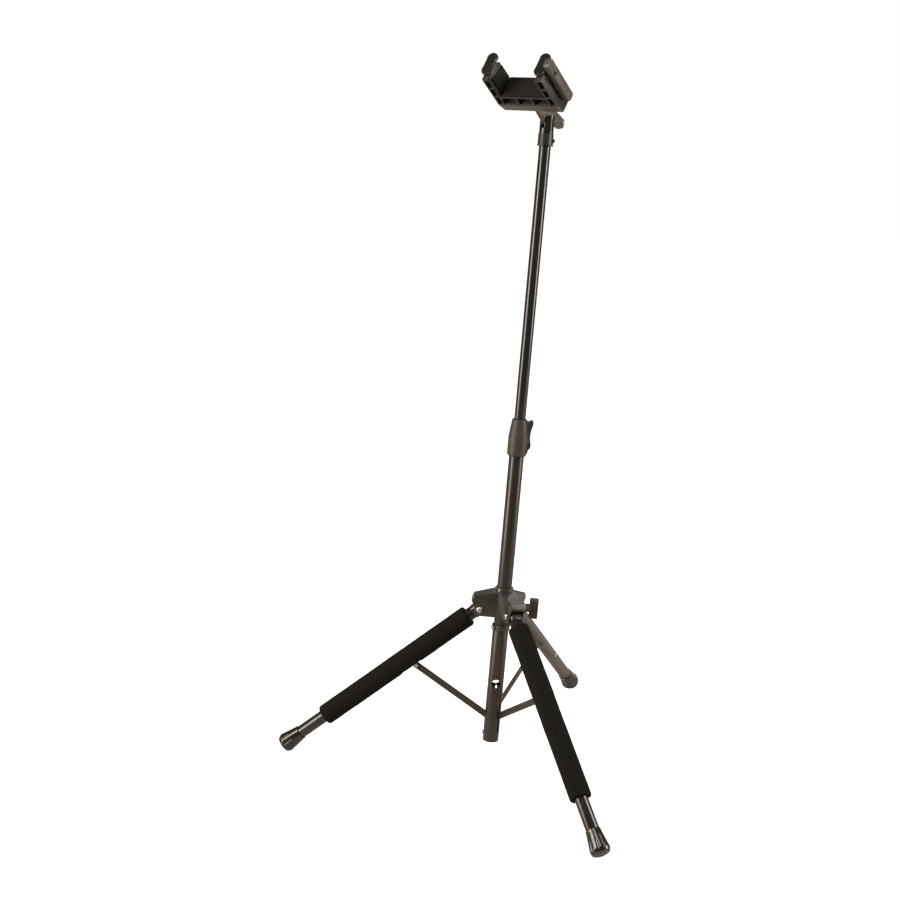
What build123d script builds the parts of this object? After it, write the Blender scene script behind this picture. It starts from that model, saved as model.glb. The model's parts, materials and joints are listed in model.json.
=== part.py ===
"""Folding guitar stand: a leaning telescopic mast on three folding legs, with a swinging
neck fork whose two gates close when the fork is weighed down.

Frame: +Z up, origin on the floor under the middle of the stand's outline, front towards -Y.
Millimetres and degrees. Levels are measured along the mast from the apex, the point where
the leg axes meet the mast's axis. Azimuths turn about the mast from +X towards the rear.
"""
from build123d import *
from math import sin, cos, tan, asin, atan2, sqrt, hypot, radians, degrees
import os

# ---------------------------------------------------------------- stance
lean = 9.62  # the mast leans back by this much
apex_height = 286.7  # apex above the floor
front_open = 48.9  # front leg axis to mast axis, stand open
rear_open = 51.3  # rear leg axis to mast axis, stand open
folded_angle = 8.0  # leg axis to mast axis, stand folded
running = 0.05  # radial clearance of a pin or tube that turns or slides
gap = 0.3  # clearance between parts that pass each other

# ---------------------------------------------------------------- mast
lower_d = 25.0
lower_wall = 1.5
lower_bottom = -130.0
lower_top = 262.0
sleeve_wall = 1.0
sleeve_top = -64.0
sleeve_bottom = -267.0
window_level = -162.0  # cross hole through the sleeve
window_d = 14.5
window_azimuth = 303.0
ring_d = 30.0
ring_rise = 5.0  # ring above the sleeve's top edge
ring_lap = 4.5  # ring below it
ring_lug_azimuth = 248.0
ring_lug_d = 9.0
rivet_level = -254.0
rivet_azimuth = 210.0
upper_d = 19.0
upper_wall = 1.2
upper_bottom = 150.0
upper_top = 756.0

# ---------------------------------------------------------------- hub
pivot_radius = 39.0
pivot_level = -34.0
hub_top = 6.0
hub_bottom = -46.0
barrel_wall = 3.25  # hub barrel outside the lower tube's surface
barrel_d = lower_d + 2 * barrel_wall
bush_wall = 1.2
arm_width = 30.0
arm_wall = 3.4
arm_reach = 54.0
channel_width = 22.8
lug_width = 22.0
bolt_d = 6.0
bolt_head_d = 10.5
nut_af = 10.0
clamp_azimuth = 30.0
clamp_level = -27.0
clamp_boss_d = 17.0
clamp_boss_reach = 31.0
clamp_screw_d = 8.0
knob_near = 45.0
knob_far = 60.0
knob_span = 36.0

# ---------------------------------------------------------------- legs and braces
leg_d = 22.0
leg_wall = 1.2
tube_start = 12.0  # leg tube's upper end, below the hub bolt
front_sole = 468.0  # apex to the foot's widest ring
rear_sole = 369.3
foot_collar_d = 25.0
foot_d = 33.0
foot_length = 40.0
foot_flutes = 9
foam_d = 36.0
foam_start = 75.0  # from the apex, along the leg
foam_short = 84.5  # foam's lower end above the widest ring of the foot
knee_drop = 17.5  # knee rivet below the leg's axis
front_knee = 146.6  # hub bolt to knee, along the front legs
rear_knee = 142.0
brace_width = 11.0
brace_thick = 2.5
brace_side = 5.0  # brace plane beside the leg's middle plane
anchor_inset = 4.5  # inner brace rivet inside the lower tube's surface
anchor_radius = lower_d / 2 - anchor_inset
brace_angle = 58.65  # front brace to mast axis, stand open
knee_rivet_d = 4.0
inner_rivet_d = 3.0
ear_thick = 2.0
ear_gap = 0.15
saddle_length = 15.0
saddle_thick = 1.4

# ---------------------------------------------------------------- clutch
clutch_bottom = 232.0
clutch_top = 294.0
clutch_waist = 264.0
clutch_d = 33.0
clutch_top_d = 25.6
trigger_azimuth = 30.0
trigger_width = 8.0
trigger_pivot_radius = 17.0
trigger_pivot_level = 258.0
trigger_pin_d = 3.0

# ---------------------------------------------------------------- neck and fork
head_turn = -4.0  # the head is turned about the mast by this much
collar_bottom = 738.0
collar_top = 757.0
collar_d = 24.6
neck_d = 23.0
pivot_up = 775.0  # tilt pivot's level on the mast
slot_floor = 765.5
tongue_thick = 5.0
tilt_pin_d = 6.0
fork_pitch = 33.0  # prongs above the plane square to the mast, unloaded
pivot_back = 80.0  # tilt pivot behind the crossbar's inner face
pivot_rise = 16.2  # tilt pivot above the fork's underside
fork_width = 110.0
prong_thick = 12.5
prong_length = 45.0
fork_height = 39.0
rib_zone = 19.0  # ribbed part of the crossbar, behind its inner face
tail_zone = 19.0  # plated part of the crossbar behind that
tail_rise = 5.0
rib = 2.0
pocket_depth = 10.0
plate_thick = 3.0
gate_up = 14.0  # gate shaft above the fork's underside
gate_span = 23.0
gate_lobe_d = 18.0
gate_thick = 4.6
gate_pad = 1.6
gate_shaft_d = 6.0
gate_shaft_start = 14.0
liner_thick = 2.4
cover_off = 3.0  # link cover beside the fork
cover_thick = 10.5
cover_near = fork_width / 2 + cover_off
cover_far = cover_near + cover_thick
cover_low = 15.0
cover_high = 31.0
cover_back = -26.0
cover_front = 58.0
cover_wall = 1.6


# ---------------------------------------------------------------- frames
def turn_of(angle):
    """Cosine and sine of an angle in degrees."""
    return cos(radians(angle)), sin(radians(angle))


lean_cos, lean_sin = turn_of(lean)
front_y = -front_sole * (lean_sin * cos(radians(front_open)) + 0.5 * lean_cos * sin(radians(front_open)))
rear_y = rear_sole * sin(radians(rear_open - lean))
front_rim = foot_d / 2 * sqrt(1 - (front_y / front_sole) ** 2)
rear_rim = foot_d / 2 * cos(radians(rear_open - lean))
apex_y = -(front_y - front_rim + rear_y + rear_rim) / 2  # centres the feet on the origin
apex = Vector(0, apex_y, apex_height)
mast = Plane(origin=apex, x_dir=(1, 0, 0), z_dir=(0, lean_sin, lean_cos))


def radial_of(azimuth):
    c, s = turn_of(azimuth)
    return mast.x_dir * c + mast.y_dir * s


def side_plane(azimuth, across=0.0):
    """Local x runs out from the mast, local y up the mast, moved sideways by across."""
    radial = radial_of(azimuth)
    normal = radial.cross(mast.z_dir)
    return Plane(origin=apex - normal * across, x_dir=radial, z_dir=normal)


def radial_plane(azimuth, level, radius=0.0):
    """Local z runs out from the mast, local y up the mast."""
    radial = radial_of(azimuth)
    origin = mast.from_local_coords(Vector(0, 0, level)) + radial * radius
    return Plane(origin=origin, x_dir=mast.z_dir.cross(radial), z_dir=radial)


def leg_side(azimuth, angle, across=0.0):
    """Origin on the hub bolt, local x down the leg, local y up from it."""
    base = side_plane(azimuth, across)
    c, s = turn_of(angle)
    along = base.x_dir * s - base.y_dir * c
    bolt = base.from_local_coords(Vector(pivot_radius, pivot_level, 0))
    return Plane(origin=bolt, x_dir=along, z_dir=base.z_dir)


def leg_axis_plane(azimuth, angle):
    """Origin on the hub bolt, local z down the leg."""
    side = leg_side(azimuth, angle)
    return Plane(origin=side.origin, x_dir=side.y_dir, z_dir=side.x_dir)


# ---------------------------------------------------------------- fold linkage
bolt_offset = pivot_radius / sin(radians(front_open))  # apex to hub bolt, along a front leg


def knee_point(angle, knee):
    """Knee rivet as radius and level, with the hub at rest."""
    c, s = turn_of(angle)
    return (pivot_radius + knee * s - knee_drop * c, pivot_level - knee * c - knee_drop * s)


front_knee_at = knee_point(front_open, front_knee)
rear_knee_at = knee_point(rear_open, rear_knee)
anchor_level = front_knee_at[1] - (front_knee_at[0] - anchor_radius) / tan(radians(brace_angle))


def brace_length(knee_at):
    return hypot(knee_at[0] - anchor_radius, knee_at[1] - anchor_level)


def brace_tilt(knee_at):
    """Brace to mast axis, stand open."""
    return degrees(atan2(knee_at[0] - anchor_radius, knee_at[1] - anchor_level))


def folded_tilt(knee, length):
    """Brace to mast axis, stand folded."""
    return degrees(asin((knee_point(folded_angle, knee)[0] - anchor_radius) / length))


def fold_travel(knee, length):
    """How far the hub climbs to fold a leg."""
    knee_at = knee_point(folded_angle, knee)
    return anchor_level + sqrt(length ** 2 - (knee_at[0] - anchor_radius) ** 2) - knee_at[1]


front_brace = brace_length(front_knee_at)
rear_brace = brace_length(rear_knee_at)
hub_travel = fold_travel(front_knee, front_brace)
slot_dip = 24.0  # room below the anchor rivet while the linkage passes half-way
sleeve_d = lower_d + 2 * sleeve_wall
slot_clear = sqrt((sleeve_d / 2) ** 2 - (brace_side - brace_thick / 2) ** 2) + 1.0
slot_top = anchor_level + (slot_clear - anchor_radius + brace_width / 2) / tan(
    radians(folded_tilt(front_knee, front_brace)))

leg_names = ("left", "right", "rear")
leg_azimuth = {"left": 210.0, "right": 330.0, "rear": 90.0}
leg_open = {"left": front_open, "right": front_open, "rear": rear_open}
leg_sole = {"left": front_sole - bolt_offset, "right": front_sole - bolt_offset,
            "rear": rear_sole - bolt_offset}
leg_knee = {"left": front_knee, "right": front_knee, "rear": rear_knee}
brace_span = {"left": front_brace, "right": front_brace, "rear": rear_brace}
brace_rest = {name: brace_tilt(knee_point(leg_open[name], leg_knee[name])) for name in leg_names}

pieces = []


def keep(builder, name, colour):
    """Label a finished sub-part and hold it for export."""
    builder.part.label = name
    builder.part.color = Color(colour)
    pieces.append(builder.part)


def tube(name, plane, start, end, outer, inner):
    """Round tube along the plane's normal, from start to end."""
    with BuildPart() as made:
        with BuildSketch(plane.offset(start)):
            Circle(outer / 2)
            if inner:
                Circle(inner / 2, mode=Mode.SUBTRACT)
        extrude(amount=end - start)
    made.part.label = name
    return made


def far_face(builder, direction):
    """The face that lies furthest along a direction."""
    return builder.faces().sort_by(Axis(apex, direction))[-1]


# ---------------------------------------------------------------- mast tubes
lower_tube = tube("lower_tube", mast, lower_bottom, lower_top, lower_d, lower_d - 2 * lower_wall)
keep(lower_tube, "lower_tube", "black")

slot_floor_level = anchor_level - slot_dip - brace_width / 2
rivet_d = 4.0
rivet_head_d = 7.2
with BuildPart() as base_sleeve:
    with BuildSketch(mast.offset(sleeve_bottom)):
        Circle(sleeve_d / 2)
        Circle(lower_d / 2, mode=Mode.SUBTRACT)
    extrude(amount=sleeve_top - sleeve_bottom)
    with BuildSketch(radial_plane(window_azimuth, window_level)):
        Circle(window_d / 2)
    extrude(amount=sleeve_d, both=True, mode=Mode.SUBTRACT)
    with BuildSketch(radial_plane(rivet_azimuth, rivet_level)):
        Circle(rivet_d / 2)
    extrude(amount=sleeve_d, mode=Mode.SUBTRACT)
    for leg_name in leg_names:
        with BuildSketch(radial_plane(leg_azimuth[leg_name], (slot_top + slot_floor_level) / 2)):
            with Locations((brace_side, 0)):
                SlotOverall(slot_top - slot_floor_level, brace_thick + 2 * gap, rotation=90)
        extrude(amount=sleeve_d, mode=Mode.SUBTRACT)
keep(base_sleeve, "base_sleeve", "dimgray")

ring_lug_reach = ring_d / 2 + 2.5
ring_screw_d = 3.2
ring_lug = radial_plane(ring_lug_azimuth, sleeve_top + 0.5)
with BuildPart() as sleeve_ring:
    with BuildSketch(mast.offset(sleeve_top - ring_lap)):
        Circle(ring_d / 2)
    extrude(amount=ring_lap + ring_rise)
    chamfer(far_face(sleeve_ring, mast.z_dir).edges(), 0.8)
    with BuildSketch(ring_lug):
        Circle(ring_lug_d / 2)
    extrude(amount=ring_lug_reach)
    with BuildSketch(mast.offset(sleeve_top)):
        Circle(lower_d / 2)
    extrude(amount=2 * ring_rise, mode=Mode.SUBTRACT)
    with BuildSketch(mast.offset(sleeve_top - 2 * ring_lap)):
        Circle(sleeve_d / 2)
    extrude(amount=2 * ring_lap, mode=Mode.SUBTRACT)
    with BuildSketch(ring_lug):
        Circle(ring_screw_d / 2)
    extrude(amount=ring_d, mode=Mode.SUBTRACT)
keep(sleeve_ring, "sleeve_ring", "black")

with BuildPart() as ring_screw:
    with BuildSketch(ring_lug.offset(sleeve_d / 2)):
        Circle(ring_screw_d / 2)
    extrude(amount=ring_lug_reach - sleeve_d / 2)
    with BuildSketch(ring_lug.offset(ring_lug_reach)):
        Circle(ring_screw_d * 0.9)
    extrude(amount=1.9)
    fillet(far_face(ring_screw, ring_lug.z_dir).edges(), 1.2)
keep(ring_screw, "ring_screw", "silver")

# The anchor plug closes the sleeve's foot and traps the braces' inner rivets.
anchor_top = anchor_level + inner_rivet_d / 2 + 4.0
anchor_bottom = sleeve_bottom + 3.0
pocket_in = anchor_radius - 4.4 - inner_rivet_d / 2
pocket_top = anchor_level + inner_rivet_d / 2 + running
pocket_floor = anchor_level - slot_dip
rivet_half = brace_thick / 2 + 1.4
with BuildPart() as brace_anchor:
    with BuildSketch(mast.offset(anchor_bottom)):
        Circle(lower_d / 2)
    extrude(amount=anchor_top - anchor_bottom)
    for leg_name in leg_names:
        brace_plane = side_plane(leg_azimuth[leg_name], brace_side)
        with BuildSketch(brace_plane):
            with Locations(((lower_d - anchor_radius / 2) / 2, (slot_floor_level + anchor_top + 1) / 2)):
                Rectangle(lower_d + anchor_radius / 2, anchor_top + 1 - slot_floor_level)
        extrude(amount=brace_thick / 2 + gap, both=True, mode=Mode.SUBTRACT)
        with BuildSketch(brace_plane):
            with Locations(((lower_d + pocket_in) / 2, (pocket_floor + pocket_top) / 2)):
                Rectangle(lower_d - pocket_in, pocket_top - pocket_floor)
        extrude(amount=rivet_half + gap, both=True, mode=Mode.SUBTRACT)
    with BuildSketch(radial_plane(rivet_azimuth, rivet_level)):
        Circle(rivet_d / 2)
    extrude(amount=sleeve_d, mode=Mode.SUBTRACT)
keep(brace_anchor, "brace_anchor", "gray")

rivet_line = radial_plane(rivet_azimuth, rivet_level)
with BuildPart() as sleeve_rivet:
    with BuildSketch(rivet_line):
        Circle(rivet_d / 2)
    extrude(amount=sleeve_d / 2)
    with BuildSketch(rivet_line.offset(sleeve_d / 2)):
        Circle(rivet_head_d / 2)
    extrude(amount=2.2)
    fillet(far_face(sleeve_rivet, rivet_line.z_dir).edges(), 1.4)
keep(sleeve_rivet, "sleeve_rivet", "silver")

# ---------------------------------------------------------------- clutch
bush_flange = 3.0
bush_bottom = 222.0
bush_outer = lower_d - 2 * lower_wall - 2 * running
bush_inner = upper_d + 2 * running
housing_reach = clutch_d / 2 + 1.6
with BuildPart() as clutch_body:
    with BuildSketch(side_plane(trigger_azimuth)):
        with BuildLine():
            Polyline((0, clutch_bottom), (clutch_d / 2 - 2.0, clutch_bottom),
                     (clutch_d / 2, clutch_bottom + 3), (clutch_d / 2, clutch_waist),
                     (clutch_top_d / 2, clutch_top - 1.0), (clutch_top_d / 2 - 1.0, clutch_top),
                     (0, clutch_top), close=True)
        make_face()
    revolve(axis=Axis(apex, mast.z_dir))
    with BuildSketch(side_plane(trigger_azimuth)):
        with BuildLine():
            Polyline((10, clutch_bottom + 6), (clutch_d / 2 + 1.0, clutch_bottom + 6),
                     (housing_reach, clutch_bottom + 20), (housing_reach, clutch_waist),
                     (clutch_top_d / 2 + 2.6, clutch_top - 3), (10, clutch_top - 3), close=True)
        make_face()
    extrude(amount=trigger_width / 2 + 2.2, both=True)
    with BuildSketch(mast.offset(clutch_bottom - 1)):
        Circle(lower_d / 2)
    extrude(amount=lower_top + bush_flange - clutch_bottom + 1, mode=Mode.SUBTRACT)
    with BuildSketch(mast.offset(clutch_bottom)):
        Circle(upper_d / 2 + gap)
    extrude(amount=clutch_top, mode=Mode.SUBTRACT)
    with BuildSketch(side_plane(trigger_azimuth)):
        with Locations((lower_d / 2 + 1.2 + lower_d / 2, (clutch_bottom + clutch_top) / 2)):
            Rectangle(lower_d, clutch_top - clutch_bottom + 2)
    extrude(amount=trigger_width / 2 + gap, both=True, mode=Mode.SUBTRACT)
    with BuildSketch(side_plane(trigger_azimuth)):
        with Locations((trigger_pivot_radius, trigger_pivot_level)):
            Circle(trigger_pin_d / 2)
    extrude(amount=clutch_d, both=True, mode=Mode.SUBTRACT)
keep(clutch_body, "clutch_body", "darkolivegreen")

with BuildPart() as clutch_bush:
    with BuildSketch(mast.offset(bush_bottom)):
        Circle(bush_outer / 2)
    extrude(amount=lower_top + 2 * running - bush_bottom)
    with BuildSketch(mast.offset(lower_top + 2 * running)):
        Circle(lower_d / 2 - running)
    extrude(amount=bush_flange - 4 * running)
    with BuildSketch(mast.offset(bush_bottom)):
        Circle(bush_inner / 2)
    extrude(amount=clutch_top, mode=Mode.SUBTRACT)
keep(clutch_bush, "clutch_bush", "white")

with BuildPart() as clutch_trigger:
    with BuildSketch(side_plane(trigger_azimuth)):
        with BuildLine():
            Spline((clutch_d / 2 + 1.6, clutch_bottom + 11.5), (clutch_d / 2 + 4.4, clutch_bottom + 14.5),
                   (clutch_d / 2 + 3.6, trigger_pivot_level + 3), (clutch_d / 2 + 3.4, clutch_top - 24),
                   (clutch_d / 2 + 5.8, clutch_top - 11), (clutch_d / 2 + 6.8, clutch_top - 5),
                   (clutch_d / 2 + 5.4, clutch_top - 1.4), (clutch_d / 2 + 1.0, clutch_top - 0.8))
            Polyline((clutch_d / 2 + 1.0, clutch_top - 0.8), (clutch_top_d / 2 + 2.9, clutch_top - 3),
                     (lower_d / 2 + 2.2, clutch_waist + 4), (lower_d / 2 + 1.7, clutch_bottom + 14),
                     (clutch_d / 2 + 1.6, clutch_bottom + 11.5))
        make_face()
        with Locations((trigger_pivot_radius, trigger_pivot_level)):
            Circle(trigger_pin_d / 2 + running, mode=Mode.SUBTRACT)
    extrude(amount=trigger_width / 2, both=True)
keep(clutch_trigger, "clutch_trigger", "darkslategray")

with BuildPart() as trigger_pin:
    with BuildSketch(side_plane(trigger_azimuth)):
        with Locations((trigger_pivot_radius, trigger_pivot_level)):
            Circle(trigger_pin_d / 2)
    extrude(amount=trigger_width / 2 + 2.0, both=True)
keep(trigger_pin, "trigger_pin", "silver")

# ---------------------------------------------------------------- hub
clamp_line = radial_plane(clamp_azimuth, clamp_level)
liner_d = lower_d + 2 * running + 2 * bush_wall
arm_bottom = pivot_level - 11.5
arm_crown = (arm_reach - 4.0, -10.5)  # outer end of the arm's sloping top
arm_slope = arm_crown[1] / (arm_crown[0] - barrel_d / 2)
lip_level = pivot_level + 11.5  # lower edge of the hood at the arm's outer end


def hub_arm(azimuth):
    """One arm: a hood with two cheeks, open below and at its lower end."""
    with BuildPart() as arm:
        with BuildSketch(side_plane(azimuth)):
            with BuildLine():
                FilletPolyline((-4, arm_bottom), (-4, 0), (barrel_d / 2, 0), arm_crown,
                               (arm_reach, arm_crown[1] - 8), (pivot_radius + 9, pivot_level + 4),
                               (pivot_radius + 8, arm_bottom + 3), (pivot_radius, arm_bottom),
                               radius=2.0, close=True)
            make_face()
        extrude(amount=arm_width / 2, both=True)
        outline = arm.faces().sort_by(Axis(apex, side_plane(azimuth).z_dir))
        fillet(outline[0].edges() + outline[-1].edges(), 2.2)
        roof = -arm_wall + arm_slope * (20 - barrel_d / 2)
        with BuildSketch(side_plane(azimuth)):
            with BuildLine():
                Polyline((20, arm_bottom - 5), (20, roof), (arm_crown[0] - 2, arm_crown[1] - arm_wall),
                         (arm_reach - arm_wall, arm_crown[1] - 9), (arm_reach - arm_wall, lip_level),
                         (arm_reach + 9, lip_level), (arm_reach + 9, arm_bottom - 5), close=True)
            make_face()
        extrude(amount=channel_width / 2, both=True, mode=Mode.SUBTRACT)
        with BuildSketch(side_plane(azimuth)):
            with Locations((pivot_radius, pivot_level)):
                Circle(bolt_d / 2)
        extrude(amount=arm_width, both=True, mode=Mode.SUBTRACT)
    return arm.part


with BuildPart() as hub_casting:
    for leg_name in leg_names:
        add(hub_arm(leg_azimuth[leg_name]))
    with BuildSketch(mast.offset(hub_bottom)):
        Circle(barrel_d / 2)
    extrude(amount=hub_top - hub_bottom)
    chamfer(far_face(hub_casting, mast.z_dir).edges(), 0.8)
    with BuildSketch(clamp_line):
        Circle(clamp_boss_d / 2)
    extrude(amount=clamp_boss_reach)
    with BuildSketch(mast.offset(hub_bottom - 1)):
        Circle(liner_d / 2)
    extrude(amount=hub_top - hub_bottom + 2, mode=Mode.SUBTRACT)
    with BuildSketch(clamp_line):
        Circle(clamp_screw_d / 2 + running)
    extrude(amount=clamp_boss_reach + 1, mode=Mode.SUBTRACT)
keep(hub_casting, "hub_casting", "gray")

with BuildPart() as hub_liner:
    with BuildSketch(mast.offset(hub_bottom + 0.5)):
        Circle(liner_d / 2)
        Circle(lower_d / 2 + running, mode=Mode.SUBTRACT)
    extrude(amount=hub_top - hub_bottom - 1)
    with BuildSketch(clamp_line):
        Circle(clamp_screw_d / 2 + running)
    extrude(amount=liner_d, mode=Mode.SUBTRACT)
keep(hub_liner, "hub_liner", "white")

bolt_head = 3.4
head_end = arm_width / 2 + bolt_head
head_rim = -(arm_width / 2 + 1.4)
with BuildPart() as leg_bolts:
    for leg_name in leg_names:
        bolt_side = side_plane(leg_azimuth[leg_name])
        bolt_at = bolt_side.from_local_coords(Vector(pivot_radius, pivot_level, 0))
        with BuildSketch(Plane(origin=bolt_at, x_dir=bolt_side.x_dir, z_dir=-bolt_side.y_dir)):
            with BuildLine():
                Polyline((0, head_end), (0, -head_end))
                FilletPolyline((0, -head_end), (bolt_head_d * 0.3, -head_end), (bolt_head_d / 2, head_rim),
                               (bolt_head_d / 2, -arm_width / 2), radius=0.8)
                Polyline((bolt_head_d / 2, -arm_width / 2), (bolt_d / 2, -arm_width / 2),
                         (bolt_d / 2, arm_width / 2), (bolt_head_d / 2, arm_width / 2))
                FilletPolyline((bolt_head_d / 2, arm_width / 2), (bolt_head_d / 2, -head_rim),
                               (bolt_head_d * 0.3, head_end), (0, head_end), radius=0.8)
            make_face()
        revolve(axis=Axis(bolt_at, bolt_side.z_dir))
keep(leg_bolts, "leg_bolts", "silver")

with BuildPart() as clamp_screw:
    with BuildSketch(clamp_line.offset(lower_d / 2 + 0.1)):
        Circle(clamp_screw_d / 2)
    extrude(amount=knob_near + 8 - lower_d / 2)
keep(clamp_screw, "clamp_screw", "dimgray")

with BuildPart() as clamp_knob:
    with BuildSketch(clamp_line.offset(clamp_boss_reach + 1.0)):
        Circle(clamp_boss_d / 2 - 1.5)
    extrude(amount=knob_near - clamp_boss_reach - 1.0)
    with BuildSketch(clamp_line.offset(knob_near)):
        RectangleRounded(12, knob_span, 5.5)
    extrude(amount=knob_far - knob_near)
    fillet(far_face(clamp_knob, clamp_line.z_dir).edges(), 2.0)
    with BuildSketch(clamp_line):
        Circle(clamp_screw_d / 2)
    extrude(amount=knob_near + 8.1, mode=Mode.SUBTRACT)
keep(clamp_knob, "clamp_knob", "darkslategray")


# ---------------------------------------------------------------- legs
def leg_fitting(name):
    """Lug that turns on the hub bolt, plugged into the leg tube."""
    side = leg_side(leg_azimuth[name], leg_open[name])
    axis = leg_axis_plane(leg_azimuth[name], leg_open[name])
    with BuildPart() as made:
        with BuildSketch(side):
            with Locations((tube_start / 2, 0)):
                Rectangle(tube_start, leg_d)
            Circle(leg_d / 2)
        extrude(amount=lug_width / 2, both=True)
        with BuildSketch(axis.offset(-leg_d)):
            Circle(leg_d / 2 + 2.0)
        extrude(amount=2 * leg_d, mode=Mode.INTERSECT)
        with BuildSketch(axis.offset(tube_start)):
            Circle(leg_d / 2 - leg_wall)
        extrude(amount=leg_d)
        with BuildSketch(side):
            Circle(bolt_d / 2 + running)
        extrude(amount=leg_d, both=True, mode=Mode.SUBTRACT)
    keep(made, f"leg_fitting_{name}", "dimgray")


# Rivet that pins the rear tube to its inner plug, on the tube's upper right flank.
rear_rivet_reach = 196.0
rear_side = leg_side(leg_azimuth["rear"], rear_open)
rear_rivet_plane = Plane(origin=rear_side.from_local_coords(Vector(rear_rivet_reach, 0, 0)),
                         x_dir=rear_side.x_dir, z_dir=rear_side.z_dir)
with BuildPart() as rear_leg_rivet:
    with BuildSketch(rear_rivet_plane.offset(leg_d / 2 - leg_wall - 1.0)):
        Circle(rivet_d / 2)
    extrude(amount=leg_wall + 1.4)
    with BuildSketch(rear_rivet_plane.offset(leg_d / 2 + 0.4)):
        Circle(rivet_head_d / 2)
    extrude(amount=1.6)
    fillet(rear_leg_rivet.faces().sort_by(Axis(apex, rear_rivet_plane.z_dir))[-1].edges(), 1.1)
keep(rear_leg_rivet, "rear_leg_rivet", "silver")


def leg_tube(name):
    axis = leg_axis_plane(leg_azimuth[name], leg_open[name])
    with BuildPart() as made:
        with BuildSketch(axis.offset(tube_start)):
            Circle(leg_d / 2)
            Circle(leg_d / 2 - leg_wall, mode=Mode.SUBTRACT)
        extrude(amount=leg_sole[name] - 8 - tube_start)
        if name == "rear":
            with BuildSketch(rear_rivet_plane):
                Circle(rivet_d / 2)
            extrude(amount=leg_d, mode=Mode.SUBTRACT)
    keep(made, f"leg_tube_{name}", "black")


def leg_foot(name):
    """Flared rubber foot with flutes, worn flat where it meets the floor."""
    side = leg_side(leg_azimuth[name], leg_open[name])
    axis = leg_axis_plane(leg_azimuth[name], leg_open[name])
    sole = leg_sole[name]
    dome_end = sole + 7.5
    mouth = dome_end - foot_length
    with BuildPart() as made:
        with BuildSketch(side):
            with BuildLine():
                FilletPolyline((mouth, foot_collar_d / 2), (mouth + 3, foot_collar_d / 2),
                               (sole - 1, foot_d / 2), (sole + 5, foot_d / 2 - 2),
                               (dome_end, foot_d / 4 - 1), (dome_end, 0), radius=3)
                Polyline((dome_end, 0), (mouth, 0), (mouth, foot_collar_d / 2))
            make_face()
        revolve(axis=Axis(side.origin, side.x_dir))
        with BuildSketch(axis.offset(mouth - 1)):
            Circle(leg_d / 2)
        extrude(amount=sole - 8 - mouth + 1, mode=Mode.SUBTRACT)
        flare = degrees(atan2((foot_d - foot_collar_d) / 2, foot_length - 13))
        with Locations(axis.offset(sole - 3)):
            with PolarLocations(foot_d / 2 + 1.3, foot_flutes):
                with Locations(Rotation(0, flare, 0)):
                    Cylinder(2.6, 26, mode=Mode.SUBTRACT)
        with BuildSketch(Plane.XY):
            Rectangle(2000, 2000)
        extrude(amount=-foot_length, mode=Mode.SUBTRACT)
    keep(made, f"leg_foot_{name}", "black")


def leg_foam(name):
    """Foam sleeve with a slit below for the knee bracket and the brace."""
    axis = leg_axis_plane(leg_azimuth[name], leg_open[name])
    knee = leg_knee[name]
    with BuildPart() as made:
        with BuildSketch(axis.offset(foam_start - bolt_offset)):
            Circle(foam_d / 2)
        extrude(amount=front_sole - foam_short - foam_start)
        ends = made.faces().sort_by(Axis(axis.origin, axis.z_dir))
        fillet(ends[0].edges() + ends[-1].edges(), 3.0)
        with BuildSketch(axis.offset(foam_start - bolt_offset - 1)):
            Circle(leg_d / 2)
        extrude(amount=front_sole - foam_short - foam_start + 2, mode=Mode.SUBTRACT)
        with BuildSketch(axis.offset(knee - saddle_length / 2 - gap)):
            Circle(leg_d / 2 + saddle_thick + gap)
        extrude(amount=saddle_length + 2 * gap, mode=Mode.SUBTRACT)
        slit_near, slit_far = knee - 11, knee + 30
        with BuildSketch(leg_side(leg_azimuth[name], leg_open[name], brace_side)):
            with Locations(((slit_near + slit_far) / 2, -foam_d / 2)):
                Rectangle(slit_far - slit_near, 2 * (foam_d / 2 - 7))
        extrude(amount=ear_reach + 1.5, both=True, mode=Mode.SUBTRACT)
    keep(made, f"leg_foam_{name}", "black")


ear_inner = brace_thick / 2 + ear_gap
ear_reach = ear_inner + ear_thick
ear_radius = 5.4


def knee_bracket(name):
    """Saddle welded under the leg tube, with two ears for the brace."""
    axis = leg_axis_plane(leg_azimuth[name], leg_open[name])
    side = leg_side(leg_azimuth[name], leg_open[name], brace_side)
    knee = leg_knee[name]
    with BuildPart() as made:
        with BuildSketch(axis.offset(knee - saddle_length / 2)):
            Circle(leg_d / 2 + saddle_thick)
            with Locations((leg_d / 2, 0)):
                Rectangle(leg_d + 12, 2 * leg_d, mode=Mode.SUBTRACT)
        extrude(amount=saddle_length)
        for face in (-1, 1):
            with BuildSketch(side.offset(face * (ear_inner + ear_thick / 2))):
                with Locations((knee, -knee_drop)):
                    Circle(ear_radius)
                with Locations((knee, -knee_drop / 2 - 2)):
                    Rectangle(2 * ear_radius, knee_drop - 4)
            extrude(amount=ear_thick / 2, both=True)
        with BuildSketch(axis.offset(knee - saddle_length)):
            Circle(leg_d / 2)
        extrude(amount=2 * saddle_length, mode=Mode.SUBTRACT)
        with BuildSketch(side):
            with Locations((knee, -knee_drop)):
                Circle(knee_rivet_d / 2 + running)
        extrude(amount=leg_d, both=True, mode=Mode.SUBTRACT)
    keep(made, f"knee_bracket_{name}", "black")


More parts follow.
